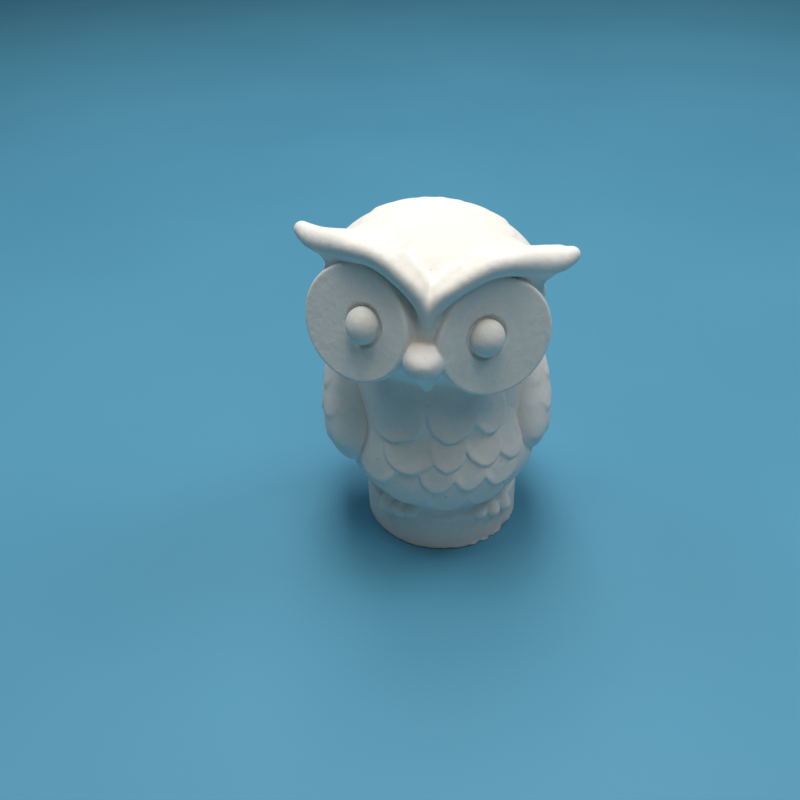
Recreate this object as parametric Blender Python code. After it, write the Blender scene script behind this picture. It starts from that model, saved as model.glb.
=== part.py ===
"""Owl figurine cast in plaster, standing on a round plinth, its head turned and tipped a little.

Units are metres and +Z is up. The origin is the centre of the plinth's underside, the owl faces -Y, and +X is
on the right of someone who looks at its face. Each sculpted form is one closed solid. Where two forms meet,
one of them gives way and keeps a clearance to the other.
"""

import math

import bmesh
import bpy
from mathutils import Matrix, Vector

MM = 0.001
CLEARANCE = 0.35 * MM
MERGE_DISTANCE = 0.001 * MM

# Plinth
BASE_RADIUS = 23.2 * MM
BASE_HEIGHT = 13.0 * MM
BASE_EDGE = 1.5 * MM
BASE_LOWER_EDGE = 0.5 * MM

# Body: a wide belly and a narrower chest, each half of an egg
BELLY_CENTRE_Z = 32.0 * MM
BELLY_RADIUS = 28.6 * MM
BELLY_HALF_HEIGHT = 23.0 * MM
CHEST_CENTRE_Z = 50.0 * MM
CHEST_RADIUS = 24.6 * MM
CHEST_HALF_HEIGHT = 19.0 * MM
BODY_BLEND = 6
BODY_Y = -1.0 * MM
TORSO_RINGS = 12

# Wings and tail
WING_RADII = Vector((9.0, 18.0, 21.5)) * MM
WING_CENTRE = Vector((24.6, 3.4, 42.5)) * MM
WING_SHIFT = -1.2 * MM
WING_TAPER = 0.4
WING_LEAN = math.radians(18)
WING_FLARE = math.radians(5)
TAIL_RADII = Vector((11.0, 5.0, 15.5)) * MM
TAIL_CENTRE = Vector((0.0, 24.5, 25.0)) * MM
TAIL_LEAN = math.radians(7)

# Head: everything on it is placed in the head's own frame
HEAD_CENTRE = Vector((-2.1, -2.0, 76.0)) * MM
HEAD_TURN = math.radians(-8.0)
HEAD_TIP = math.radians(4.6)
SKULL_RADII = Vector((30.0, 26.5, 24.5)) * MM
SKULL_OFFSET = Vector((0.0, 1.0, 0.0)) * MM
FOREHEAD_RADIUS = 29.0 * MM
FOREHEAD_FULLNESS = 0.9

# Face discs: round plates that splay outwards and look up a little
DISC_CENTRE = Vector((17.6, -24.6, 3.3)) * MM
DISC_RADIUS = 15.0 * MM
DISC_THICKNESS = 8.0 * MM
DISC_EDGE = 1.2 * MM
DISC_SPLAY = math.radians(27)
DISC_TILT = math.radians(10)
DISC_MOAT = 1.6 * MM
POCKET_FLOOR = 4.5 * MM
POCKET_REACH = 16.0 * MM

# Eyes: in the frame of their disc, as outward, upward and out of its face
EYE_RADII = Vector((4.4, 4.8, 3.6)) * MM
EYE_PLACE = Vector((-2.7, 0.9, 0.3)) * MM

# Brows: the crest's points in the frame of their disc, each with the ridge's radius there
BROW_CREST = (
    ((-17.0, 7.5, -4.6), 3.0),
    ((-14.6, 12.6, -3.4), 3.6),
    ((-9.5, 16.4, -2.4), 4.2),
    ((-2.5, 18.4, -1.9), 4.4),
    ((7.4, 16.9, -3.4), 4.6),
    ((16.5, 14.6, -6.2), 4.6),
    ((24.0, 15.2, -8.0), 2.6),
)
BROW_TIP = 1.8 * MM
BROW_TIP_SHARES = (0.6, 0.9, 0.98)
BROW_SIDES = 10
BROW_STEPS = 2

# Beak and the wedge above it
BEAK_RADII = Vector((5.3, 5.3, 5.2)) * MM
BEAK_CENTRE = Vector((0.4, -30.2, -1.6)) * MM
BEAK_DROP = 3.8 * MM
BEAK_HOOK = 2.0 * MM
BEAK_DRAWN_FROM = 0.4
BRIDGE_RADII = Vector((2.8, 2.9, 5.6)) * MM
BRIDGE_CENTRE = Vector((0.5, -26.4, 8.4)) * MM
BRIDGE_LEAN = math.radians(-8)

# Toes: angle from the front, each lying over the plinth's edge
TOE_ANGLES = (25.5, 39, 52.5)
TOE_RADII = Vector((2.35, 4.8, 3.3)) * MM
TOE_REACH = 20.4 * MM
TOE_HEIGHT = 12.0 * MM
TOE_DROOP = math.radians(38)

# Feathers: angle from the front, height of the middle, half width and half length in millimetres.
# A feather lies over the ones after it.
BREAST_FEATHERS = (
    (-34, 50.0, 8.2, 7.4),
    (3, 51.0, 6.8, 6.8),
    (29, 51.5, 5.6, 6.6),
    (-23, 42.5, 7.8, 7.6),
    (0, 43.5, 5.8, 7.0),
    (21, 44.0, 6.2, 7.0),
    (41, 42.5, 4.6, 6.8),
    (-41, 37.0, 7.0, 8.0),
    (-6, 36.0, 5.4, 6.0),
    (10.5, 36.5, 6.2, 6.6),
    (30, 36.0, 6.4, 7.0),
    (-24, 30.5, 7.4, 7.2),
    (-2, 28.0, 7.2, 7.4),
    (21, 28.5, 6.8, 7.0),
)
FEATHER_HALF_THICKNESS = 2.2 * MM
FEATHER_SINK = 0.9 * MM

PLASTER_COLOUR = (0.84, 0.82, 0.78, 1.0)
PLASTER_ROUGHNESS = 0.85


def clear_scene():
    for obj in list(bpy.data.objects):
        bpy.data.objects.remove(obj)


def plaster(name):
    material = bpy.data.materials.new(name)
    material.use_nodes = True
    shader = material.node_tree.nodes["Principled BSDF"]
    shader.inputs["Base Color"].default_value = PLASTER_COLOUR
    shader.inputs["Roughness"].default_value = PLASTER_ROUGHNESS
    shader.inputs["Metallic"].default_value = 0.0
    return material


def add_object(name, bm, parent=None):
    """Makes a smooth-shaded object of a bmesh, which this frees."""
    bmesh.ops.recalc_face_normals(bm, faces=bm.faces)
    mesh = bpy.data.meshes.new(name)
    bm.to_mesh(mesh)
    bm.free()
    mesh.shade_smooth()
    mesh.materials.append(plaster(name + "_plaster"))
    obj = bpy.data.objects.new(name, mesh)
    obj.parent = parent
    bpy.context.scene.collection.objects.link(obj)
    return obj


def add_frame(name, location, turn, parent=None):
    empty = bpy.data.objects.new(name, None)
    empty.empty_display_size = 5 * MM
    empty.parent = parent
    empty.location = location
    empty.rotation_euler = turn
    bpy.context.scene.collection.objects.link(empty)
    return empty


def add_ball(name, radii, centre, turn=(0, 0, 0), parent=None, segments=24, rings=14):
    bm = bmesh.new()
    bmesh.ops.create_uvsphere(bm, u_segments=segments, v_segments=rings, radius=1)
    bmesh.ops.scale(bm, vec=radii, verts=bm.verts)
    obj = add_object(name, bm, parent)
    obj.location = centre
    obj.rotation_euler = turn
    return obj


def add_turned(name, profile, segments, parent=None):
    """Spins a profile of (radius, height) points that starts and ends on the Z axis."""
    bm = bmesh.new()
    points = [bm.verts.new((radius, 0, height)) for radius, height in profile]
    edges = [bm.edges.new(pair) for pair in zip(points, points[1:])]
    turn = {"axis": (0, 0, 1), "cent": (0, 0, 0), "angle": math.tau}
    bmesh.ops.spin(bm, geom=points + edges, steps=segments, use_merge=True, **turn)
    bmesh.ops.remove_doubles(bm, verts=bm.verts, dist=MERGE_DISTANCE)
    return add_object(name, bm, parent)


def rounded_corner(radius, height, edge, upper, steps=2):
    """Points of a quarter circle at an outer corner of a profile, from below to above."""
    start = 0 if upper else -90
    centre = (radius - edge, height - edge if upper else height + edge)
    angles = [math.radians(start + 90 * step / steps) for step in range(steps + 1)]
    return [(centre[0] + edge * math.cos(angle), centre[1] + edge * math.sin(angle)) for angle in angles]


def ellipse_radius(height, centre, radius, half_height):
    offset = (height - centre) / half_height
    return radius * math.sqrt(max(0.0, 1 - offset * offset))


def body_radius(height):
    belly = ellipse_radius(height, BELLY_CENTRE_Z, BELLY_RADIUS, BELLY_HALF_HEIGHT)
    chest = ellipse_radius(height, CHEST_CENTRE_Z, CHEST_RADIUS, CHEST_HALF_HEIGHT)
    return (belly**BODY_BLEND + chest**BODY_BLEND) ** (1 / BODY_BLEND)


def smooth_path(knots, steps):
    """Points on a Catmull-Rom curve through the knots, each a vector."""
    ends = [2 * knots[0] - knots[1], *knots, 2 * knots[-1] - knots[-2]]
    path = []
    for before, start, end, after in zip(ends, ends[1:], ends[2:], ends[3:]):
        for step in range(steps):
            t = step / steps
            path.append(
                0.5 * (2 * start + (end - before) * t + (2 * before - 5 * start + 4 * end - after) * t * t
                       + (3 * start - before - 3 * end + after) * t * t * t)
            )
    return [*path, knots[-1]]


def add_ridge(name, crest, tip_length, parent):
    """A round ridge along a crest of (place, radius) points, closed by a dome at its outer end."""
    knots = [Vector((*place, radius)) * MM for place, radius in crest]
    path = smooth_path(knots, BROW_STEPS)
    heading = (path[-1].xyz - path[-2].xyz).normalized()
    last = path[-1]
    for share in BROW_TIP_SHARES:
        place = last.xyz + heading * tip_length * share
        path.append(Vector((*place, last.w * math.sqrt(1 - share * share))))
    curve = bpy.data.curves.new(name, "CURVE")
    curve.dimensions = "3D"
    curve.bevel_depth = 1
    curve.bevel_resolution = BROW_SIDES // 2 - 2
    curve.use_fill_caps = True
    spline = curve.splines.new("POLY")
    spline.points.add(len(path) - 1)
    for point, knot in zip(spline.points, path):
        point.co = (*knot.xyz, 1)
        point.radius = knot.w
    guide = bpy.data.objects.new(name + "_guide", curve)
    bpy.context.scene.collection.objects.link(guide)
    mesh = bpy.data.meshes.new_from_object(guide)
    bpy.data.objects.remove(guide)
    bm = bmesh.new()
    bm.from_mesh(mesh)
    bmesh.ops.remove_doubles(bm, verts=bm.verts, dist=MERGE_DISTANCE)
    return add_object(name, bm, parent)


def clearance_of(obj):
    """A hidden copy of a solid, grown by the clearance, that cuts room for it out of another solid."""
    name = obj.name + "_clearance"
    if name in bpy.data.objects:
        return bpy.data.objects[name]
    bm = bmesh.new()
    bm.from_mesh(obj.data)
    bm.normal_update()
    moves = [vertex.normal * vertex.calc_shell_factor() * CLEARANCE for vertex in bm.verts]
    for vertex, move in zip(bm.verts, moves):
        vertex.co += move
    cutter = add_object(name, bm, obj.parent)
    cutter.location = obj.location
    cutter.rotation_euler = obj.rotation_euler
    cutter.hide_render = True
    cutter.display_type = "WIRE"
    return cutter


def give_way(obj, *others):
    """Cuts room for the other solids out of this one, all in one go."""
    room = bpy.data.collections.new("room_in_" + obj.name)
    for other in others:
        room.objects.link(clearance_of(other))
    cut = obj.modifiers.new("give_way", "BOOLEAN")
    cut.operation = "DIFFERENCE"
    cut.solver = "EXACT"
    cut.operand_type = "COLLECTION"
    cut.collection = room


def make_base():
    lower = rounded_corner(BASE_RADIUS, 0, BASE_LOWER_EDGE, upper=False)
    upper = rounded_corner(BASE_RADIUS, BASE_HEIGHT, BASE_EDGE, upper=True)
    return add_turned("base_plinth", [(0, 0), *lower, *upper, (0, BASE_HEIGHT)], 36)


def make_torso():
    low = BELLY_CENTRE_Z - BELLY_HALF_HEIGHT
    high = CHEST_CENTRE_Z + CHEST_HALF_HEIGHT
    angles = [math.pi * ring / TORSO_RINGS for ring in range(1, TORSO_RINGS)]
    heights = [(low + high) / 2 - math.cos(angle) * (high - low) / 2 for angle in angles]
    outline = [(0, low), *((body_radius(height), height) for height in heights), (0, high)]
    torso = add_turned("torso", outline, 32)
    torso.location.y = BODY_Y
    return torso


def make_wing(name, side):
    """An egg on its blunt end, leaning back."""
    bm = bmesh.new()
    bmesh.ops.create_uvsphere(bm, u_segments=22, v_segments=12, radius=1)
    for vertex in bm.verts:
        vertex.co.xy *= 1 - WING_TAPER * vertex.co.z
    bmesh.ops.scale(bm, vec=WING_RADII, verts=bm.verts)
    wing = add_object(name, bm)
    wing.location = Vector((side * WING_CENTRE.x + WING_SHIFT, WING_CENTRE.y, WING_CENTRE.z))
    wing.rotation_euler = (-WING_LEAN, side * WING_FLARE, 0)
    return wing


def make_tail():
    return add_ball("tail", TAIL_RADII, TAIL_CENTRE, (TAIL_LEAN, 0, 0), segments=18, rings=10)


def make_disc_frame(name, side, head_frame):
    """Its X points outwards along the disc, Z upwards along it, and -Y out of its face."""
    centre = Vector((side * DISC_CENTRE.x, DISC_CENTRE.y, DISC_CENTRE.z))
    turn = Matrix.Rotation(side * DISC_SPLAY, 3, "Z") @ Matrix.Rotation(-DISC_TILT, 3, "X")
    return add_frame(name, centre, turn.to_euler(), head_frame)


def make_face_disc(name, frame):
    """A turned plate whose face lies in the frame's XZ plane."""
    back = rounded_corner(DISC_RADIUS, -DISC_THICKNESS, DISC_EDGE, upper=False)
    front = rounded_corner(DISC_RADIUS, 0, DISC_EDGE, upper=True)
    disc = add_turned(name, [(0, -DISC_THICKNESS), *back, *front, (0, 0)], 30, frame)
    disc.rotation_euler.x = math.radians(90)
    return disc


def in_disc_frame(place, side):
    """Outward, upward and out of the face, as a place in the disc's frame."""
    return Vector((side * place[0], -place[2], place[1]))


def make_eye(name, frame, side):
    radii = Vector((EYE_RADII.x, EYE_RADII.z, EYE_RADII.y))
    return add_ball(name, radii, in_disc_frame(EYE_PLACE, side), parent=frame, segments=14, rings=8)


def make_brow(name, frame, side):
    crest = [(in_disc_frame(place, side), radius) for place, radius in BROW_CREST]
    return add_ridge(name, crest, BROW_TIP, frame)


def make_head(head_frame):
    """An egg lying down, fuller at the forehead than an ellipsoid, with a chin that stays one."""
    bm = bmesh.new()
    bmesh.ops.create_uvsphere(bm, u_segments=32, v_segments=16, radius=1)
    for vertex in bm.verts:
        ahead = max(0.0, -vertex.co.y) * min(1.0, max(0.0, 0.5 + vertex.co.z))
        power = 2 + FOREHEAD_FULLNESS * ahead
        depth = SKULL_RADII.y + (FOREHEAD_RADIUS - SKULL_RADII.y) * ahead
        radii = (SKULL_RADII.x, depth, SKULL_RADII.z)
        total = sum(abs(part / radius) ** power for part, radius in zip(vertex.co, radii))
        vertex.co *= total ** (-1 / power)
    head = add_object("head", bm, head_frame)
    head.location = SKULL_OFFSET
    return head


def make_pocket(name, frame):
    """The hollow in front of the head that a face disc stands in, used as a cutter only."""
    radius = DISC_RADIUS + DISC_MOAT
    profile = [(0, -POCKET_FLOOR), (radius, -POCKET_FLOOR), (radius, POCKET_REACH), (0, POCKET_REACH)]
    pocket = add_turned(name, profile, 30, frame)
    pocket.rotation_euler.x = math.radians(90)
    pocket.hide_render = True
    pocket.display_type = "WIRE"
    return pocket


def make_beak(head_frame):
    """A ball whose underside is drawn down and back to a point."""
    bm = bmesh.new()
    bmesh.ops.create_uvsphere(bm, u_segments=16, v_segments=12, radius=1)
    bmesh.ops.scale(bm, vec=BEAK_RADII, verts=bm.verts)
    for vertex in bm.verts:
        drawn = max(0.0, -vertex.co.z / BEAK_RADII.z - BEAK_DRAWN_FROM) / (1 - BEAK_DRAWN_FROM)
        vertex.co.z -= BEAK_DROP * drawn**3
        vertex.co.y += BEAK_HOOK * drawn**3
    beak = add_object("beak", bm, head_frame)
    beak.location = BEAK_CENTRE
    return beak


def make_toe(name, angle):
    turn = Matrix.Rotation(angle, 3, "Z")
    place = turn @ Vector((0, -TOE_REACH, TOE_HEIGHT))
    tilt = turn @ Matrix.Rotation(TOE_DROOP, 3, "X")
    return add_ball(name, TOE_RADII, place, tilt.to_euler(), segments=8, rings=7)


def make_feather(name, angle, height, half_width, half_length):
    """A pillow that lies against the body, its face square to the body's surface."""
    turn = Matrix.Rotation(math.radians(angle), 3, "Z")
    height *= MM
    step = 1 * MM
    slope = math.atan2(body_radius(height + step) - body_radius(height - step), 2 * step)
    lean = Matrix.Rotation(slope, 3, "X")
    depth = body_radius(height) - FEATHER_SINK
    place = turn @ Vector((0, -depth, 0)) + Vector((0, BODY_Y, height))
    radii = Vector((half_width * MM, FEATHER_HALF_THICKNESS, half_length * MM))
    return add_ball(name, radii, place, (turn @ lean).to_euler(), segments=10, rings=7)


def keep_half(obj, side):
    """Cuts a solid off at the head's middle plane, half a clearance short of it."""
    to_head = obj.parent.matrix_local @ obj.matrix_local
    normal = (to_head.to_3x3().inverted() @ Vector((side, 0, 0))).normalized()
    point = to_head.inverted() @ Vector((side * CLEARANCE / 2, 0, 0))
    bm = bmesh.new()
    bm.from_mesh(obj.data)
    whole = bm.verts[:] + bm.edges[:] + bm.faces[:]
    cut = bmesh.ops.bisect_plane(bm, geom=whole, plane_co=point, plane_no=normal, clear_inner=True)
    rim = [item for item in cut["geom_cut"] if isinstance(item, bmesh.types.BMEdge)]
    if rim:
        bmesh.ops.contextual_create(bm, geom=rim)
    bmesh.ops.recalc_face_normals(bm, faces=bm.faces)
    bm.to_mesh(obj.data)
    bm.free()


def main():
    clear_scene()
    base = make_base()
    torso = make_torso()
    wings = [make_wing("wing_left", -1), make_wing("wing_right", 1)]
    tail = make_tail()
    toes = []
    for side, side_name in ((-1, "left"), (1, "right")):
        for number, angle in enumerate(TOE_ANGLES, 1):
            toes.append(make_toe(f"toe_{side_name}_{number}", side * math.radians(angle)))

    head_turn = (Matrix.Rotation(HEAD_TURN, 3, "Z") @ Matrix.Rotation(HEAD_TIP, 3, "Y")).to_euler()
    head_frame = add_frame("head_frame", HEAD_CENTRE, head_turn)
    head = make_head(head_frame)
    beak = make_beak(head_frame)
    bridge = add_ball("nose_bridge", BRIDGE_RADII, BRIDGE_CENTRE, (BRIDGE_LEAN, 0, 0), head_frame, 10, 7)
    discs, pockets, eyes, brows = [], [], [], []
    for side, side_name in ((-1, "left"), (1, "right")):
        frame = make_disc_frame("disc_frame_" + side_name, side, head_frame)
        discs.append(make_face_disc("face_disc_" + side_name, frame))
        pockets.append(make_pocket("pocket_" + side_name, frame))
        eyes.append(make_eye("eye_" + side_name, frame, side))
        brows.append(make_brow("brow_" + side_name, frame, side))
        bpy.context.view_layer.update()
        keep_half(brows[-1], side)

    feathers = []
    for number, row in enumerate(BREAST_FEATHERS, 1):
        feathers.append(make_feather(f"breast_feather_{number:02d}", *row))

    give_way(torso, base, head, tail, *wings, *discs, *toes, *feathers)
    give_way(base, *toes)
    give_way(head, beak, bridge, *pockets, *discs, *brows)
    for wing in wings:
        give_way(wing, head, *discs)
    for disc, eye in zip(discs, eyes):
        give_way(disc, eye, beak)
    for brow, disc, pocket in zip(brows, discs, pockets):
        give_way(brow, disc, pocket, bridge)
    give_way(bridge, beak, *discs)
    give_way(tail, base)
    for number, feather in enumerate(feathers):
        give_way(feather, *wings, head, *discs, *feathers[:number])


main()
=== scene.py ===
"""Looks of the plaster owl: each CAD piece is sculpted again as one fine mesh of matte cast plaster.

The owl is one distance field, in millimetres, positive outside the plaster. Each piece is the share of that
field that lies nearer to its own form than to any other. Neighbours meet without a gap or a step, and each
piece runs on a little way under them. The boxes of the CAD model's nodes place the head's frame, the breast
feathers and the plinth.
"""

import math
from concurrent.futures import ThreadPoolExecutor
from itertools import product

import bpy
import numpy as np
from mathutils import Matrix, Vector


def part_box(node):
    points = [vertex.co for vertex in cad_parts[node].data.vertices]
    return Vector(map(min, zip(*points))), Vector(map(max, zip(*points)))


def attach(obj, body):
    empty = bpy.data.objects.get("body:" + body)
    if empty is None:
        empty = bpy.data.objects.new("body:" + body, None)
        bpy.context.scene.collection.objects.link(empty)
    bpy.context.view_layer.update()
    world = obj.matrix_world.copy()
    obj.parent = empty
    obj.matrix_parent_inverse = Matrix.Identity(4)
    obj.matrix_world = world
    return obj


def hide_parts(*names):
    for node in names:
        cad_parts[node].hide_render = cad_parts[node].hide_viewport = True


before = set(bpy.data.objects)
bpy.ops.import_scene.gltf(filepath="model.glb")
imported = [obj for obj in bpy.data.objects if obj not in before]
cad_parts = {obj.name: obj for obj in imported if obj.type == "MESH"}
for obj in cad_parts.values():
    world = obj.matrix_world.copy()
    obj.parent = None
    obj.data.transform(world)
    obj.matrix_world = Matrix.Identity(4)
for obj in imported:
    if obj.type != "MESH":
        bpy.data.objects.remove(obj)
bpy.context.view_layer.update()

MM = 0.001

# A form is worked out within this reach of its node's box, and counts as far away beyond it
REACH, CLOSE_REACH, POCKET_REACH, WING_REACH = 9, 5, 14, 16
FAR = 50.0

# Points are worked out in chunks, by several threads
WORKERS, CHUNK = 4, 12000

# How finely the surface is meshed, and how far past its CAD box a piece's grid goes
STEP = 0.42
FINE_STEP = 0.3
FINE_PIECES = ("eye", "beak", "toe", "nose", "face_disc")
GRID_MARGIN = 5.0
# A grid cell is kept while the field at its middle is under this many cell widths
KEPT_CELLS = 2.2
# How wide the band is where a piece runs on under its neighbours, and how deep it dips there, in cell widths
OVERLAP, SINK = 1.4, 0.14

SIDES = {"left": -1, "right": 1}
FEATHERS = sorted(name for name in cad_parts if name.startswith("breast_feather"))
TOES = sorted(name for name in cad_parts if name.startswith("toe_"))

# Body: sides are -1 on the left and 1 on the right, as seen from the front
BODY_AXIS = np.array((0.0, -1.0, 0.0))
BELLY_CENTRE, BELLY_RADII = (0, -1, 31.5), (28.6, 28.6, 22.5)
CHEST_CENTRE, CHEST_RADII = (-0.5, -1, 50), (24.6, 24, 19)
# The low fringe of plumage between the feet
SKIRT_CENTRE, SKIRT_RADII = (0.5, -18.6, 14.2), (9.5, 3.8, 3.4)
# The plumage over each foot: its angle from the front, how far out and how low it ends, its top and its radii
TUFT_ANGLE, TUFT_REACH, TUFT_HEIGHT = 38, 18.6, {-1: 17.2, 1: 15.8}
TUFT_TOP, TUFT_RADII = 20, (4.5, 3.4)
# The right wing's centre, how far both lie to the left of that, and the wings' lean, flare and taper
WING_CENTRE, WING_SHIFT = np.array((24.6, 3.4, 42.5)), np.array((-1.2, 0, 0))
WING_RADII = np.array((9.0, 18.0, 21.5))
WING_LEAN, WING_FLARE, WING_TAPER = -18, 5, 0.42
TAIL_CENTRE, TAIL_RADII, TAIL_LEAN = np.array((0, 24.5, 25)), np.array((11.0, 5.0, 15.5)), 7
TAIL_GROOVE, TAIL_GROOVES = 0.55, 3
# How high the feathers stand that aren't pieces of their own
WING_RELIEF, BACK_RELIEF, NAPE_RELIEF, CROWN_RELIEF = 0.55, 0.6, 0.5, 0.4
# Width and height of one such feather; on a round form the width is an angle
BACK_FEATHER, WING_FEATHER, NAPE_FEATHER = (0.36, 8.2), (9.5, 8.0), (0.42, 0.34)

# Breast feathers: half length, how much wider than the CAD's they are, how deep they reach under the skin
FEATHER_HALF_LENGTH, FEATHER_WIDENING, FEATHER_DEPTH = 7.4, 1.06, 2.6
# How high a feather stands at its root, how much more at its lower end, and how much more at its rim
FEATHER_ROOT, FEATHER_LIFT, FEATHER_RIM = 0.1, 0.95, 0.4
# How uneven its outline is, and over what distance
FEATHER_WAVER, FEATHER_WAVER_PERIOD = 0.08, 3.5

# Each toe's angle from the front and the height that its tip hangs down to
TOE_TIPS = {"left": ((25, 12.4), (36, 10.8), (49, 9.2)), "right": ((25.5, 10.4), (37.5, 8.8), (50.5, 7.6))}
TOE_RADIUS, TOE_TIP_REACH = 2.4, 22.9
# The rest of a toe: distance from the axis, height, and its radius as a share of the tip's
TOE_KNUCKLES = ((16.5, 15.2, 1.1), (21.0, 14.4, 1.05))

# The plinth's rounded edge, and the waves round its chipped foot: how many, where they start, how they turn
# with height, and how large they are
PLINTH_EDGE = 0.9
CHIP_WAVES = ((7, 1, 0, 1), (13, 2.2, 0, 1), (29, 0, 1, 0.8), (47, 0, -2, 0.6))

# Head, in its own frame: x to the right as seen from the front, -y forward, z up
DISC_CENTRE = np.array((17.6, -24.6, 3.3))
DISC_RADIUS, DISC_HALF_DEPTH, DISC_EDGE = 15.3, 5, 0.9
DISC_SPLAY, DISC_TILT = 27, 10
# Half the thickness of the CAD's disc, whose middle the head's frame is found from
CAD_DISC_HALF = 4.0
SKULL_OFFSET = np.array((0.0, 1.0, 0.0))
SKULL_RADII = np.array((30.0, 26.5, 24.5))
FOREHEAD_DEPTH, FOREHEAD_POWER = 2.4, 0.8
EYE_RADII = (4.4, 4.8, 3.6)
EYE_PLACE = np.array((-2.7, 0.9, 0.3))
SOCKET_RADIUS, SOCKET_DEPTH, SOCKET_STRETCH, SOCKET_HALF, SOCKET_EDGE = 5.4, 1.2, 1.08, 4.8, 0.4

# The hollow round each disc: its middle in the disc's frame, its radius and its depth
POCKETS = {-1: ((-1.4, -0.5, 0), 16.3, 5.5), 1: ((0.1, 0, 0), 15.7, 3.0)}
POCKET_HALF, POCKET_EDGE = 12.5, 0.8

# Forms between two balls: the first ball's centre, the second's, and their radii
WEDGE_FRONT = ((1.1, -26.0, 11.4), (0.8, -26.6, 5.6), 2.3, 2.6)
WEDGE_BEHIND = ((1.0, -23.0, 12.0), (0.5, -24.4, 2.0), 3.4, 4.6)
NOSTRIL = ((-0.9, -29.4, 3.7), (1.9, -29.4, 3.3), 0.6, 0.5)
BEAK_TIP = ((0.7, -29.2, -3.4), (1.7, -28.3, -9.9), 4.3, 1.5)
BEAK_CENTRE, BEAK_RADIUS = np.array((0.47, -30.0, -1.45)), 5.3
# The beak's sloping front and its flattened top: the way each faces, and how far out it lies
BEAK_FLATS = (((0, -0.5, 0.87), 4.4), ((0, 0.6, 0.8), 4.2))

# Forehead lobes seen from above: middle x and y, half width and half length
CROWN_LOBES = ((0.8, -17, 5.4, 9), (-9.5, -9, 5.6, 8), (10.5, -10, 5.6, 8))

# The brow's front edge in its disc's frame: outward, up, out of the face, and the ridge's radius there
BROW_EDGE = np.array((
    (-17.7, 7.0, -2.4, 1.3),
    (-17.0, 9.1, -1.3, 1.4),
    (-15.6, 11.6, -0.5, 1.5),
    (-13.6, 13.7, 0.2, 1.55),
    (-11.3, 15.4, 0.9, 1.65),
    (-7.3, 17.9, 2.0, 1.9),
    (-2.9, 19.1, 2.3, 2.3),
    (2.0, 18.8, 1.9, 2.4),
    (7.4, 17.8, 0.7, 3.0),
    (13.8, 16.0, -1.6, 3.3),
    (20.4, 15.1, -4.4, 2.9),
    (24.0, 15.8, -5.8, 2.1),
))
# How the edge moves, out over the disc, along the brow's inner half
BROW_OVERHANG = np.array((-0.6, 0.46, 1.27))
# How far each brow's inner half lies outside that line
BROW_WIDER = {-1: 0.02, 1: -0.05}
# The brow's thick root: how far behind and inside the edge, its radius, and where it starts to fade out
BROW_ROOT_BEHIND, BROW_ROOT_INSIDE, BROW_ROOT_RADIUS = 4.0, 0.085, 4.0
BROW_ROOT_END = {-1: 17, 1: 20}

# How wide the blend is where forms meet, or the groove along the wings
BLENDS = {
    "chest": 6,
    "tuft": 2.5,
    "skirt": 3,
    "feather": 0.25,
    "feather_edge": 1.0,
    "toe": 0.3,
    "wing_groove": 1.6,
    "tail": 1.5,
    "brow": 2.2,
    "brows": 1.0,
    "pocket": 1.0,
    "wedge": 1.2,
    "wedge_parts": 1.5,
    "face_disc": 0.6,
    "socket": 0.35,
    "eye": 0.3,
    "beak": 0.3,
    "beak_flats": 1.2,
    "beak_tip": 0.8,
    "nostril": 0.4,
}

# Plaster and floor colours, linear
PLASTER_WARM, PLASTER_COOL, PLASTER_DUSTY = (0.86, 0.835, 0.79), (0.82, 0.815, 0.80), (0.88, 0.87, 0.84)
# Painted shade: the darker colour that each pinhole is given, standing in for the shade inside it
PIT_PAINTED_SHADE = (0.55, 0.53, 0.50)
PLASTER_ROUGHNESS, PLASTER_SPECULAR = (0.84, 0.93), 0.25
MOTTLE_PERIOD, DUST_PERIOD = 9.0, 1.3
GRAIN_PERIOD, GRAIN_DEPTH = 0.35, 0.035
SWELL_PERIOD, SWELL_DEPTH = 2.6, 0.16
PIT_SPACING, PIT_RADIUS, PIT_DEPTH = 5.5, 0.28, 0.12
FLOOR_BLUE, FLOOR_PALER = (0.074, 0.28, 0.435), (0.082, 0.3, 0.46)
FLOOR_ROUGHNESS, FLOOR_SPECULAR = 0.6, 0.3
PATCH_PERIOD, CARD_GRAIN_PERIOD, CARD_GRAIN_DEPTH = 160.0, 0.8, 0.02
FLOOR_SIZE = 3

# Soft boxes: azimuth, elevation, watts and colour
LIGHT_DISTANCE, LIGHT_SIZE, LIGHT_TARGET = 0.9, 0.35, 0.05
LIGHTS = {
    "overhead": (0, 90, 4.4, (1, 0.95, 0.86)),
    "behind": (180, 66, 2.9, (1, 0.98, 0.94)),
    "behind_right": (102, 50, 1.7, (0.95, 0.97, 1)),
    "behind_left": (248, 52, 1.3, (0.85, 0.95, 1)),
    "front_high": (25, 64, 1.1, (1, 0.97, 0.92)),
    "front_low": (0, 22, 0.32, (1, 0.9, 0.7)),
}
WORLD_COLOUR, WORLD_STRENGTH = (0.85, 0.93, 1, 1), 0.01

# Camera, in metres and degrees: it looks down at the owl from the front
CAMERA_PLACE = (-0.0120, -0.2058, 0.1928)
CAMERA_PITCH, CAMERA_ROLL = 36.7, -2.43
FOCAL_LENGTH, SENSOR_WIDTH = 39.15, 36


def box_mm(node):
    low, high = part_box(node)
    return np.array(low) / MM, np.array(high) / MM


def centre_mm(node):
    low, high = box_mm(node)
    return (low + high) / 2


NODES = sorted(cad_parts)
INDEX = {name: number for number, name in enumerate(NODES)}
BOXES = {name: box_mm(name) for name in NODES}


def turn(axis, degrees):
    return np.array(Matrix.Rotation(math.radians(degrees), 3, axis.upper()))


# ---------------------------------------------------------------- distance fields


def sphere(p, centre, radius):
    return np.linalg.norm(p - centre, axis=1) - radius


def ellipsoid(p, centre, radii):
    q = (p - centre) / radii
    near = np.linalg.norm(q, axis=1)
    return near * (near - 1) / np.maximum(np.linalg.norm(q / radii, axis=1), 1e-6)


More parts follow.
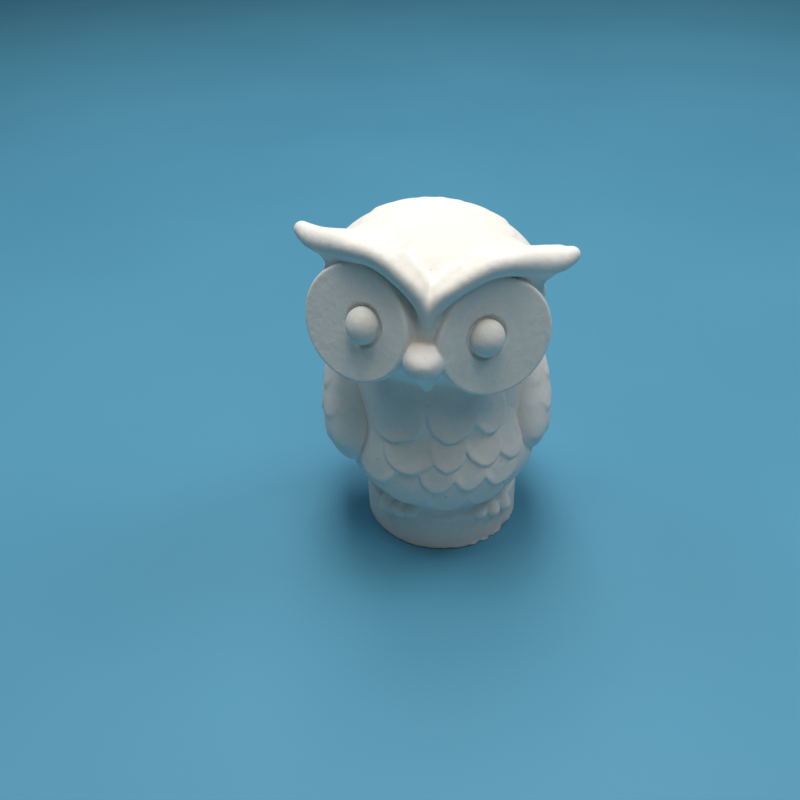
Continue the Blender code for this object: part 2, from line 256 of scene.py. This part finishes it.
def round_cone(p, start, end, start_radius, end_radius):
    """A cone between two spheres, with round ends."""
    start = np.asarray(start, float)
    along = np.asarray(end, float) - start
    length2 = along @ along
    taper = start_radius - end_radius
    slant2 = length2 - taper * taper
    from_start = p - start
    y = from_start @ along
    z = y - length2
    side = from_start * length2 - along * y[:, None]
    x2 = (side * side).sum(1)
    y2 = y * y * length2
    z2 = z * z * length2
    k = np.sign(taper) * taper * taper * x2
    past_end = np.sign(z) * slant2 * z2 > k
    before_start = np.sign(y) * slant2 * y2 < k
    d = (np.sqrt(x2 * slant2 / length2) + y * taper) / length2 - start_radius
    d = np.where(before_start, np.sqrt(x2 + y2) / length2 - start_radius, d)
    return np.where(past_end, np.sqrt(x2 + z2) / length2 - end_radius, d)


def plate(p, centre, axes, radius, half, edge):
    """A cylinder with rounded edges. Its axis is the last row of axes."""
    q = (p - centre) @ axes.T
    across = np.hypot(q[:, 0], q[:, 1]) - radius + edge
    up = np.abs(q[:, 2]) - half + edge
    return np.minimum(np.maximum(across, up), 0) + np.hypot(np.maximum(across, 0), np.maximum(up, 0)) - edge


def join(a, b, blend):
    h = np.maximum(blend - np.abs(a - b), 0) / blend
    return np.minimum(a, b) - h * h * blend / 4


def seam(a, b, width):
    """Both forms, with a groove along the line where they meet."""
    h = np.maximum(width - np.abs(a - b), 0) / width
    return np.minimum(a, b) + h * h * width / 4


def overlap(a, b, blend):
    return -join(-a, -b, blend)


def cut(a, b, blend):
    return overlap(a, -b, blend)


def around(p, node, reach):
    """Which points lie within reach of a node's box."""
    low, high = BOXES[node]
    return ((p > low - reach) & (p < high + reach)).all(1)


def near(p, node, shape, reach=REACH, local=None):
    """A shape's distance for the points around a node, and a far one for the rest.

    The shape takes the points in a frame of its own where local gives them.
    """
    inside = around(p, node, reach)
    d = np.full(len(p), FAR)
    if inside.any():
        d[inside] = shape((p if local is None else local)[inside])
    return d


def smooth(t):
    t = np.clip(t, 0, 1)
    return t * t * (3 - 2 * t)


def unevenness(p, scale):
    """A soft random-looking swell between about -1 and 1, the same each run."""
    x, y, z = (p / scale).T
    swell = np.sin(1.3 * x + 0.7 * y + 2.1) * np.sin(1.1 * y - 0.6 * z + 0.4)
    swell += np.sin(1.7 * z + 0.9 * x - 1.2) * np.sin(0.8 * x - 1.5 * y + 2.9)
    return swell * 0.5 + 0.35 * np.sin(2.9 * x - 1.9 * z + 0.6) * np.sin(2.3 * y + 2.7 * z)


# ---------------------------------------------------------------- the owl's forms


class Head:
    """The head's frame, found from the two face discs of the CAD model."""

    def __init__(self):
        left, right = centre_mm("face_disc_left"), centre_mm("face_disc_right")
        across = (right - left) / np.linalg.norm(right - left)
        yaw = math.degrees(math.atan2(across[1], across[0]))
        roll = math.degrees(-math.asin(across[2]))
        self.axes = turn("z", yaw) @ turn("y", roll)
        face, axes = self.disc(1)
        middle = face - axes[2] * CAD_DISC_HALF
        self.centre = (left + right) / 2 - self.axes @ (middle * (0, 1, 1))

    def local(self, p):
        return (p - self.centre) @ self.axes

    def disc(self, side):
        """The middle of a disc's face and its axes: outward, up and out of the face."""
        splay, tilt = math.radians(DISC_SPLAY), math.radians(DISC_TILT)
        level = math.cos(tilt)
        out = np.array((side * math.sin(splay) * level, -math.cos(splay) * level, math.sin(tilt)))
        right = np.cross((0, 0, 1), out)
        right /= np.linalg.norm(right)
        return DISC_CENTRE * (side, 1, 1), np.array((right * side, np.cross(out, right), out))


head = Head()


def smooth_path(knots, steps):
    """Rows on a Catmull-Rom curve through the knots."""
    ends = np.vstack((2 * knots[0] - knots[1], knots, 2 * knots[-1] - knots[-2]))
    rows = []
    for before, start, end, after in zip(ends, ends[1:], ends[2:], ends[3:]):
        for t in np.arange(steps) / steps:
            bend = (2 * before - 5 * start + 4 * end - after) * t * t
            twist = (3 * start - before - 3 * end + after) * t**3
            rows.append((2 * start + (end - before) * t + bend + twist) / 2)
    return np.array([*rows, knots[-1]])


def rod(p, path):
    """A round rod along rows of x, y, z and radius."""
    d = np.full(len(p), FAR)
    for start, end in zip(path, path[1:]):
        d = np.minimum(d, round_cone(p, start[:3], end[:3], start[3], end[3]))
    return d


def brow_paths(side):
    """The thin ridge at the brow's front edge, and the thick root behind it that fades out before the tip."""
    edge = BROW_EDGE.copy()
    edge[:, :2] *= 1 + BROW_WIDER[side] * smooth(-edge[:, :1] / 6)
    edge[:, 2] -= edge[:, 3]
    edge[:, :3] += BROW_OVERHANG * smooth((edge[:, :1] + 18) / 6) * (1 - smooth((edge[:, :1] - 4) / 10))
    root = edge.copy()
    fade = smooth((root[:, 0] - BROW_ROOT_END[side]) / 9)
    root[:, :2] *= 1 - BROW_ROOT_INSIDE
    root[:, 2] -= BROW_ROOT_BEHIND * (1 - 0.4 * fade)
    root[:, 3] = BROW_ROOT_RADIUS * (1 - 0.55 * fade)
    return smooth_path(edge, 2), root


def brow(q, side):
    centre, axes = head.disc(side)
    local = (q - centre) @ axes.T
    ridge, root = BROW_PATHS[side]
    return join(rod(local, ridge), rod(local, root), BLENDS["brow"])


BROW_PATHS = {side: brow_paths(side) for side in SIDES.values()}


def crown_feathers(q):
    """Faint lobes on the forehead and rows of feathers on the back of the head."""
    turned = np.arctan2(q[:, 0], q[:, 1])
    fallen = np.arctan2(np.hypot(q[:, 0], q[:, 1]), q[:, 2])
    behind = smooth((q[:, 1] + 4) / 8) * smooth((fallen - 0.35) / 0.3)
    width, length = NAPE_FEATHER
    relief = NAPE_RELIEF * (shingles(turned / width, fallen / length - 0.6, 6, 0.25) - 0.3) * behind
    for x, y, width, length in CROWN_LOBES:
        size = np.hypot((q[:, 0] - x) / width, (q[:, 1] - y) / length)
        ahead = smooth((1.12 - size) / 0.24) * smooth(q[:, 2] / 10)
        relief = relief + CROWN_RELIEF * ahead * (0.4 + 0.6 * smooth((y - q[:, 1]) / length + 0.6))
    return relief


def skull(q):
    """An egg lying down, fuller at the forehead than an ellipsoid."""
    relief = crown_feathers(q)
    q = q - SKULL_OFFSET
    r = np.linalg.norm(q, axis=1) + 1e-6
    ahead = np.maximum(0, -q[:, 1] / r) * np.clip(0.5 + q[:, 2] / r, 0, 1)
    power = 2 + FOREHEAD_POWER * ahead
    depth = SKULL_RADII[1] + FOREHEAD_DEPTH * ahead
    total = (np.abs(q[:, 0]) / SKULL_RADII[0]) ** power
    total += (np.abs(q[:, 1]) / depth) ** power
    total += (np.abs(q[:, 2]) / SKULL_RADII[2]) ** power
    # The factor keeps the distance from being overestimated
    return r * (1 - np.maximum(total, 1e-6) ** (-1 / power)) * 0.92 - relief


def bridge(q):
    """The wedge that the brows run down into, with its lower end just behind the beak."""
    return join(round_cone(q, *WEDGE_FRONT), round_cone(q, *WEDGE_BEHIND), BLENDS["wedge_parts"])


def nostril(q):
    """A short crease pressed in between the wedge and the beak."""
    return round_cone(q, *NOSTRIL)


def pocket(q, side):
    """The hollow round a face disc, open to the front."""
    centre, axes = head.disc(side)
    shift, radius, depth = POCKETS[side]
    middle = centre + axes.T @ shift + axes[2] * (POCKET_HALF - depth)
    return plate(q, middle, axes, radius, POCKET_HALF, POCKET_EDGE)


def face_disc(q, side):
    """A thick round plate with a shallow oval socket for the eye."""
    centre, axes = head.disc(side)
    d = plate(q, centre - axes[2] * DISC_HALF_DEPTH, axes, DISC_RADIUS, DISC_HALF_DEPTH, DISC_EDGE)
    local = (q - centre) @ axes.T - EYE_PLACE * (1, 1, 0) - (0, 0, SOCKET_HALF - SOCKET_DEPTH)
    socket = plate(local / (1, SOCKET_STRETCH, 1), 0, np.eye(3), SOCKET_RADIUS, SOCKET_HALF, SOCKET_EDGE)
    return cut(d, socket, BLENDS["socket"])


def eye(q, side):
    centre, axes = head.disc(side)
    return ellipsoid((q - centre) @ axes.T, EYE_PLACE, EYE_RADII)


def beak(q):
    """A ball with a sloping front and a flattened top, drawn down and back to a blunt point."""
    ball = sphere(q, BEAK_CENTRE, BEAK_RADIUS)
    for facing, reach in BEAK_FLATS:
        ball = overlap(ball, (q - BEAK_CENTRE) @ np.array(facing) - reach, BLENDS["beak_flats"])
    return join(ball, round_cone(q, *BEAK_TIP), BLENDS["beak_tip"])


def bare_torso(p):
    """The body without its breast feathers: feathers on its back, and plumage that hangs over its feet."""
    belly = ellipsoid(p, BELLY_CENTRE, BELLY_RADII)
    chest = ellipsoid(p, CHEST_CENTRE, CHEST_RADII)
    d = join(belly, chest, BLENDS["chest"])
    for side in SIDES.values():
        angle = math.radians(side * TUFT_ANGLE)
        foot = np.array((math.sin(angle), -math.cos(angle), 0)) * TUFT_REACH
        top, end = foot * 0.9 + (0, 0, TUFT_TOP), foot + (0, 0, TUFT_HEIGHT[side])
        d = join(d, round_cone(p, top, end, *TUFT_RADII), BLENDS["tuft"])
    d = join(d, ellipsoid(p, SKIRT_CENTRE, SKIRT_RADII), BLENDS["skirt"])
    behind = smooth((p[:, 1] - 4) / 8)
    angle = np.arctan2(p[:, 0], p[:, 1] + 1)
    width, height = BACK_FEATHER
    relief = shingles(angle / width, 7.4 - p[:, 2] / height, 7) - 0.5
    return d - BACK_RELIEF * relief * behind


def shingles(across, down, rows, edge=0.16):
    """Height, from 0 to 1, of rows of rounded feathers that hang over one another like roof tiles."""
    height = np.zeros(len(across))
    for row in reversed(range(rows)):
        column = (across + 0.5 * (row % 2) + 0.5) % 1 - 0.5
        below = down - row
        rim = 1 - 1.8 * column * column
        lobe = np.clip(0.15 + 0.85 * below, 0.1, 1) - 0.9 * column * column
        height += (lobe - height) * smooth((rim - below) / edge)
    return height


def wing(p, side):
    """An egg on its blunt end, leaning back, with four rows of feathers."""
    q = (p - WING_CENTRE * (side, 1, 1) - WING_SHIFT) @ (turn("x", WING_LEAN) @ turn("y", side * WING_FLARE))
    narrowing = 1 - WING_TAPER * np.clip(q[:, 2:] / WING_RADII[2], -1, 1)
    d = ellipsoid(q / np.hstack((narrowing, narrowing, np.ones_like(narrowing))), (0, 0, 0), WING_RADII)
    outside = smooth((q[:, 0] * side + 2) / 5)
    width, height = WING_FEATHER
    relief = shingles(q[:, 1] / width + 0.3, 2.3 - q[:, 2] / height, 4, 0.3) - 0.4
    return d * np.clip(narrowing[:, 0], 0.6, 1) - WING_RELIEF * relief * outside


def tail(p):
    """A flattened egg with shallow grooves between its feathers."""
    q = (p - TAIL_CENTRE) @ turn("x", TAIL_LEAN)
    grooves = np.cos(q[:, 0] * (TAIL_GROOVES * math.pi / TAIL_RADII[0]))
    behind = smooth(q[:, 1] / 3) * smooth((8 - q[:, 2]) / 8)
    return ellipsoid(q, (0, 0, 0), TAIL_RADII) + TAIL_GROOVE * np.maximum(-grooves, 0) ** 3 * behind


def plinth(p):
    """A round block with a soft upper edge and a ragged, chipped lower one."""
    low, high = BOXES["base_plinth"]
    radius = (high[0] - low[0]) / 2
    d = plate(p, (low + high) / 2, np.eye(3), radius, (high[2] - low[2]) / 2, PLINTH_EDGE)
    angle = np.arctan2(p[:, 0], -p[:, 1])
    ragged = np.zeros(len(p))
    for count, start, turned, size in CHIP_WAVES:
        ragged += size * np.sin(count * angle + start + turned * p[:, 2])
    # The foot is chipped the most at the front right
    rough = 0.25 + smooth(angle / 0.4) * smooth((1.5 - angle) / 0.4)
    lip = smooth((1.4 + 0.5 * ragged - p[:, 2]) / 0.7)
    return d + rough * (0.16 * ragged - 0.2) * lip - 0.06 * unevenness(p, 4.5)


def toe(p, node):
    """A plump finger that lies on the plinth and hangs over its edge."""
    side_name, number = node.split("_")[1:]
    angle, low = TOE_TIPS[side_name][int(number) - 1]
    angle = math.radians(angle * SIDES[side_name])
    places = (*TOE_KNUCKLES, (TOE_TIP_REACH, low + TOE_RADIUS, 1.0))
    return rod(p, np.array([
        (math.sin(angle) * reach, -math.cos(angle) * reach, height, TOE_RADIUS * share)
        for reach, height, share in places
    ]))


class Feather:
    """A lobe that lies on the body like a shingle, its lower edge standing out the most."""

    def __init__(self, node):
        low, high = box_mm(node)
        middle = (low + high) / 2 - BODY_AXIS
        self.angle = math.atan2(middle[0], -middle[1])
        self.half_width = (high[0] - low[0]) / 2 / max(0.6, math.cos(self.angle)) * FEATHER_WIDENING
        self.height = low[2] + FEATHER_HALF_LENGTH * 0.93

    def distance(self, p, skin):
        q = p - BODY_AXIS
        radius = np.hypot(q[:, 0], q[:, 1])
        across = (np.arctan2(q[:, 0], -q[:, 1]) - self.angle) * radius / self.half_width
        down = (self.height - p[:, 2]) / FEATHER_HALF_LENGTH
        size = np.hypot(across, down) + FEATHER_WAVER * unevenness(p, FEATHER_WAVER_PERIOD) + 0.01
        steep = np.hypot(across / self.half_width, down / FEATHER_HALF_LENGTH) + 1e-6
        outline = (size - 1) * size / steep
        rim = smooth((size - 0.5) / 0.45) * smooth((down + 0.35) / 0.8)
        lift = FEATHER_ROOT + FEATHER_LIFT * smooth((down + 0.9) / 1.8) + FEATHER_RIM * rim
        return np.maximum(overlap(skin - lift, outline, BLENDS["feather_edge"]), -skin - FEATHER_DEPTH)


FEATHER_FORMS = {name: Feather(name) for name in FEATHERS}


# ---------------------------------------------------------------- the whole owl and its pieces


def body_field(p, own):
    """The torso with its feathers, wings, tail, toes and plinth. It fills in their rows of own."""
    skin = own[INDEX["torso"]] = bare_torso(p)
    base = own[INDEX["base_plinth"]] = near(p, "base_plinth", plinth)
    # The body runs into the plinth the most softly between the feet and below the tail
    fillet = 1.5 + 3 * smooth((8 - np.abs(p[:, 0])) / 4)
    body = join(skin, base, fillet)
    for name, form in FEATHER_FORMS.items():
        d = own[INDEX[name]]
        inside = around(p, name, CLOSE_REACH)
        if inside.any():
            d[inside] = form.distance(p[inside], skin[inside])
            body = join(body, d, BLENDS["feather"])
    for name in TOES:
        d = own[INDEX[name]] = near(p, name, lambda s: toe(s, name), CLOSE_REACH)
        body = join(body, d, BLENDS["toe"])
    for side_name, side in SIDES.items():
        name = "wing_" + side_name
        d = own[INDEX[name]] = near(p, name, lambda s: wing(s, side), WING_REACH)
        body = seam(body, d, BLENDS["wing_groove"])
    d = own[INDEX["tail"]] = near(p, "tail", tail)
    return join(body, d, BLENDS["tail"])


def head_field(p, own):
    """The skull with its brows, face discs, eyes, wedge and beak. It fills in their rows of own."""
    q = head.local(p)
    bare_skull = skull(q)
    ridge = {}
    hollow = {}
    for side_name, side in SIDES.items():
        ridge[side_name] = near(p, "brow_" + side_name, lambda s: brow(s, side), local=q)
        hollow[side_name] = near(p, "face_disc_" + side_name, lambda s: pocket(s, side), POCKET_REACH, q)
    # The brows run into the skull more softly towards the ear tufts
    fill = 1.4 + 4 * smooth((np.abs(q[:, 0]) - 5) / 12)
    solid = join(bare_skull, join(ridge["left"], ridge["right"], BLENDS["brows"]), fill)
    for d in hollow.values():
        solid = cut(solid, d, BLENDS["pocket"])
    own[INDEX["head"]] = np.maximum(bare_skull, -np.minimum(hollow["left"], hollow["right"]))
    wedge = own[INDEX["nose_bridge"]] = near(p, "nose_bridge", bridge, local=q)
    solid = join(solid, wedge, BLENDS["wedge"])
    for side_name, side in SIDES.items():
        own[INDEX["brow_" + side_name]] = np.maximum(ridge[side_name], -hollow[side_name])
        for kind, shape in (("face_disc", face_disc), ("eye", eye)):
            name = f"{kind}_{side_name}"
            d = own[INDEX[name]] = near(p, name, lambda s: shape(s, side), local=q)
            solid = join(solid, d, BLENDS[kind])
    d = own[INDEX["beak"]] = near(p, "beak", beak, local=q)
    solid = join(solid, d, BLENDS["beak"])
    return cut(solid, near(p, "beak", nostril, local=q), BLENDS["nostril"])


def own_distances(p):
    """Each node's own distance at every point, and the field of the whole owl."""
    own = np.full((len(NODES), len(p)), FAR)
    body = body_field(p, own)
    # Head and body run into each other softly behind, and meet in a crease in front
    nape = 1.5 + 6.5 * smooth((p[:, 1] + 1) / 13)
    return own, join(body, head_field(p, own), nape)


def piece_field(node, step):
    """The field of one piece: its own share of the owl, which dips under its neighbours where it runs on."""
    row = INDEX[node]
    band = OVERLAP * step
    sink = SINK * step

    def field(p):
        own, total = own_distances(p)
        mine = own[row].copy()
        # So that the lowest of the rest leaves this piece out
        own[row] = 2 * FAR
        beyond = (mine - own.min(0)) / 2
        return np.maximum(total + sink * smooth(beyond / band), beyond - band)

    return field


# ---------------------------------------------------------------- meshing a field

CORNERS = np.array(list(product((0, 1), repeat=3)))
CELL_EDGES = [
    (a, b) for a, b in product(range(8), repeat=2) if a < b and abs(CORNERS[a] - CORNERS[b]).sum() == 1
]
TETRAHEDRON = np.array(((1, -1, -1), (-1, -1, 1), (-1, 1, -1), (1, 1, 1)))
KEY_BITS = 20


def keys_of(cells):
    """One whole number for each cell."""
    cells = cells.astype(np.int64)
    return (cells[:, 0] << 2 * KEY_BITS) | (cells[:, 1] << KEY_BITS) | cells[:, 2]


def sample(field, points, pool):
    """The field's value at each point."""
    parts = max(1, math.ceil(len(points) / CHUNK))
    return np.concatenate(list(pool.map(field, np.array_split(points, parts))))


def cells_on_surface(field, low, high, step, pool, levels=3):
    """The grid cells near the surface, found by halving coarse cells."""
    size = step * 2**levels
    counts = np.ceil((high - low) / size).astype(int)
    cells = np.stack(np.meshgrid(*(np.arange(n) for n in counts), indexing="ij"), -1).reshape(-1, 3)
    for level in range(levels + 1):
        value = sample(field, low + (cells + 0.5) * size, pool)
        cells = cells[np.abs(value) < size * KEPT_CELLS + 0.05]
        if level < levels:
            cells = (cells[:, None] * 2 + CORNERS).reshape(-1, 3)
            size /= 2
    return cells


def mesh_field(field, low, high, step, pool):
    """Points and quads on the field's zero surface, one point in each grid cell that it crosses."""
    cells = cells_on_surface(field, low, high, step, pool)
    corners = (cells[:, None] + CORNERS).reshape(-1, 3)
    _, first, inverse = np.unique(keys_of(corners), return_index=True, return_inverse=True)
    values = sample(field, low + corners[first] * step, pool)[inverse.reshape(-1, 8)]
    crossed = (values < 0).any(1) & (values >= 0).any(1)
    cells, values = cells[crossed], values[crossed]
    total = np.zeros((len(cells), 3))
    count = np.zeros(len(cells))
    for a, b in CELL_EDGES:
        crosses = (values[:, a] < 0) != (values[:, b] < 0)
        t = values[:, a] / np.where(crosses, values[:, a] - values[:, b], 1)
        total += np.where(crosses[:, None], CORNERS[a] + t[:, None] * (CORNERS[b] - CORNERS[a]), 0)
        count += crosses
    points = low + (cells + total / count[:, None]) * step
    return settle(field, points, step, pool), quads_between(cells, values)


def quads_between(cells, values):
    """One quad round each grid edge that crosses the surface."""
    keys = keys_of(cells)
    order = np.argsort(keys)
    ordered = keys[order]
    quads = []
    for axis in range(3):
        u, v = np.roll(np.eye(3, dtype=int), -axis - 1, axis=0)[:2]
        far_end = int((CORNERS == np.eye(3, dtype=int)[axis]).all(1).argmax())
        starts_inside = values[:, 0] < 0
        crosses = starts_inside != (values[:, far_end] < 0)
        ring = []
        for shift in (0 * u, u, u + v, v):
            wanted = keys_of(cells[crosses] - shift)
            place = np.clip(np.searchsorted(ordered, wanted), 0, len(ordered) - 1)
            ring.append(np.where(ordered[place] == wanted, order[place], -1))
        ring = np.stack(ring, 1)
        whole = (ring >= 0).all(1)
        ring, flipped = ring[whole], ~starts_inside[crosses][whole]
        ring[flipped] = ring[flipped][:, ::-1]
        quads.append(ring)
    return np.concatenate(quads)


def settle(field, points, step, pool, rounds=2, probe=0.05):
    """Moves the points onto the surface along its slope."""
    for _ in range(rounds):
        probes = (points[None] + TETRAHEDRON[:, None] * probe).reshape(-1, 3)
        values = sample(field, probes, pool).reshape(4, -1)
        slope = (TETRAHEDRON[:, :, None] * values[:, None]).sum(0).T / (4 * probe)
        move = -slope * (values.mean(0) / np.maximum((slope * slope).sum(1), 0.25))[:, None]
        length = np.linalg.norm(move, axis=1, keepdims=True)
        points = points + move * np.minimum(1, 0.5 * step / np.maximum(length, 1e-9))
    return points


def main_part(points, quads):
    """The largest connected part, without the crumbs that a share of the owl can leave."""
    label = np.arange(len(points))
    settled = False
    while not settled:
        lowest = label.copy()
        np.minimum.at(lowest, quads.ravel(), np.repeat(label[quads].min(1), 4))
        lowest = lowest[lowest]
        settled = (lowest == label).all()
        label = lowest
    part = label[quads[:, 0]]
    used, quads = np.unique(quads[part == np.bincount(part).argmax()], return_inverse=True)
    return points[used], quads.reshape(-1, 4)


# ---------------------------------------------------------------- pieces in the scene


def add_piece(node, material, pool):
    """Meshes one node's share of the owl, nowhere below the floor, and puts it in the node's place."""
    step = FINE_STEP if node.startswith(FINE_PIECES) else STEP
    low, high = BOXES[node]
    surface = mesh_field(piece_field(node, step), low - GRID_MARGIN, high + GRID_MARGIN, step, pool)
    points, quads = main_part(*surface)
    points[:, 2] = np.maximum(points[:, 2], 0)
    mesh = bpy.data.meshes.new(node + "_cast")
    mesh.from_pydata((points * MM).tolist(), [], quads.tolist())
    mesh.validate()
    mesh.shade_smooth()
    mesh.materials.append(material)
    piece = bpy.data.objects.new(node + "_cast", mesh)
    bpy.context.scene.collection.objects.link(piece)
    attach(piece, "root")
    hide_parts(node)


class Shader:
    """A node material's tree, with its texture coordinates in millimetres."""

    def __init__(self, name):
        self.material = bpy.data.materials.new(name)
        self.material.use_nodes = True
        self.nodes = self.material.node_tree.nodes
        self.links = self.material.node_tree.links
        self.surface = self.nodes["Principled BSDF"]
        place = self.nodes.new("ShaderNodeTexCoord")
        self.millimetres = self.nodes.new("ShaderNodeVectorMath")
        self.millimetres.operation = "SCALE"
        self.millimetres.inputs["Scale"].default_value = 1 / MM
        self.links.new(place.outputs["Object"], self.millimetres.inputs[0])

    def noise(self, period, detail=3.0, roughness=0.5):
        node = self.nodes.new("ShaderNodeTexNoise")
        node.inputs["Scale"].default_value = 1 / period
        node.inputs["Detail"].default_value = detail
        node.inputs["Roughness"].default_value = roughness
        self.links.new(self.millimetres.outputs["Vector"], node.inputs["Vector"])
        return node.outputs["Fac"]

    def pits(self, spacing, radius):
        """Round pinholes, 1 in the middle of each and 0 between them."""
        node = self.nodes.new("ShaderNodeTexVoronoi")
        node.inputs["Scale"].default_value = 1 / spacing
        self.links.new(self.millimetres.outputs["Vector"], node.inputs["Vector"])
        return self.ramp(node.outputs["Distance"], (0.0, radius / spacing), (1.0, 0.0))

    def ramp(self, value, ends, levels):
        """Maps a value from one range to another, smoothly, and clamps it."""
        node = self.nodes.new("ShaderNodeMapRange")
        node.interpolation_type = "SMOOTHSTEP"
        node.inputs["From Min"].default_value, node.inputs["From Max"].default_value = ends
        node.inputs["To Min"].default_value, node.inputs["To Max"].default_value = levels
        self.links.new(value, node.inputs["Value"])
        return node.outputs["Result"]

    def blend(self, factor, first, second):
        """A colour between two, each a fixed colour or another node's output."""
        node = self.nodes.new("ShaderNodeMix")
        node.data_type = "RGBA"
        self.links.new(factor, node.inputs["Factor"])
        for colour, socket in ((first, "A"), (second, "B")):
            socket = next(item for item in node.inputs if item.name == socket and item.type == "RGBA")
            if isinstance(colour, tuple):
                socket.default_value = (*colour, 1)
            else:
                self.links.new(colour, socket)
        return next(item for item in node.outputs if item.type == "RGBA")

    def bump(self, height, depth, under=None):
        """Raises the surface by a height map whose full range is depth millimetres."""
        node = self.nodes.new("ShaderNodeBump")
        node.inputs["Distance"].default_value = depth * MM
        node.inputs["Strength"].default_value = 1.0
        self.links.new(height, node.inputs["Height"])
        if under:
            self.links.new(under, node.inputs["Normal"])
        return node.outputs["Normal"]


def plaster_material():
    """Dry unglazed cast plaster: chalky, faintly mottled, with a fine grain and a few air-bubble pinholes,
    whose shade is painted into the colour.
    """
    shader = Shader("cast_plaster")
    mottle = shader.ramp(shader.noise(MOTTLE_PERIOD), (0.35, 0.65), (0.0, 1.0))
    dust = shader.ramp(shader.noise(DUST_PERIOD, 5.0, 0.6), (0.4, 0.75), (0.0, 1.0))
    colour = shader.blend(mottle, PLASTER_WARM, PLASTER_COOL)
    colour = shader.blend(dust, colour, PLASTER_DUSTY)
    pits = shader.pits(PIT_SPACING, PIT_RADIUS)
    # Painted shade: each pinhole is darkened in colour as well as pressed in
    colour = shader.blend(pits, colour, PIT_PAINTED_SHADE)
    normal = shader.bump(shader.noise(GRAIN_PERIOD, 4.0, 0.6), GRAIN_DEPTH)
    normal = shader.bump(shader.noise(SWELL_PERIOD, 2.0), SWELL_DEPTH, under=normal)
    normal = shader.bump(shader.ramp(pits, (0, 1), (1, 0)), PIT_DEPTH, under=normal)
    shader.links.new(colour, shader.surface.inputs["Base Color"])
    shader.links.new(normal, shader.surface.inputs["Normal"])
    shader.links.new(shader.ramp(mottle, (0, 1), PLASTER_ROUGHNESS), shader.surface.inputs["Roughness"])
    shader.surface.inputs["Specular IOR Level"].default_value = PLASTER_SPECULAR
    return shader.material


def floor_material():
    """Smooth blue card, a little uneven in colour."""
    shader = Shader("blue_card")
    patches = shader.ramp(shader.noise(PATCH_PERIOD), (0.3, 0.7), (0.0, 1.0))
    colour = shader.blend(patches, FLOOR_BLUE, FLOOR_PALER)
    shader.links.new(colour, shader.surface.inputs["Base Color"])
    grain = shader.bump(shader.noise(CARD_GRAIN_PERIOD, 4.0), CARD_GRAIN_DEPTH)
    shader.links.new(grain, shader.surface.inputs["Normal"])
    shader.surface.inputs["Roughness"].default_value = FLOOR_ROUGHNESS
    shader.surface.inputs["Specular IOR Level"].default_value = FLOOR_SPECULAR
    return shader.material


def add_floor():
    bpy.ops.mesh.primitive_plane_add(size=FLOOR_SIZE, location=(0, 0, 0))
    floor = bpy.context.object
    floor.name = "floor"
    floor.data.materials.append(floor_material())


def add_light(name, azimuth, elevation, power, colour):
    """A square soft box on a dome over the owl. Azimuth 0 is in front of it and 90 on its right as seen."""
    turned, raised = math.radians(azimuth), math.radians(elevation)
    level = Vector((math.sin(turned), -math.cos(turned), 0)) * math.cos(raised)
    toward = level + Vector((0, 0, math.sin(raised)))
    light = bpy.data.lights.new(name, "AREA")
    light.size = LIGHT_SIZE
    light.energy = power
    light.color = colour
    lamp = bpy.data.objects.new(name, light)
    lamp.location = toward * LIGHT_DISTANCE + Vector((0, 0, LIGHT_TARGET))
    lamp.rotation_mode = "QUATERNION"
    lamp.rotation_quaternion = (-toward).to_track_quat("-Z", "Y")
    bpy.context.scene.collection.objects.link(lamp)


def add_lights():
    for name, row in LIGHTS.items():
        add_light(name, *row)
    world = bpy.data.worlds.new("studio")
    world.use_nodes = True
    background = world.node_tree.nodes["Background"]
    background.inputs["Color"].default_value = WORLD_COLOUR
    background.inputs["Strength"].default_value = WORLD_STRENGTH
    bpy.context.scene.world = world


def add_camera():
    lens = bpy.data.cameras.new("camera")
    lens.lens = FOCAL_LENGTH
    lens.sensor_width = SENSOR_WIDTH
    camera = bpy.data.objects.new("camera", lens)
    pitch = Matrix.Rotation(math.radians(90 - CAMERA_PITCH), 4, "X")
    roll = Matrix.Rotation(math.radians(CAMERA_ROLL), 4, "Z")
    camera.matrix_world = Matrix.Translation(CAMERA_PLACE) @ pitch @ roll
    bpy.context.scene.collection.objects.link(camera)
    bpy.context.scene.camera = camera


def main():
    plaster = plaster_material()
    with ThreadPoolExecutor(WORKERS) as pool:
        for node in NODES:
            add_piece(node, plaster, pool)
    add_floor()
    add_lights()
    add_camera()
    bpy.context.scene.view_settings.view_transform = "Standard"


main()
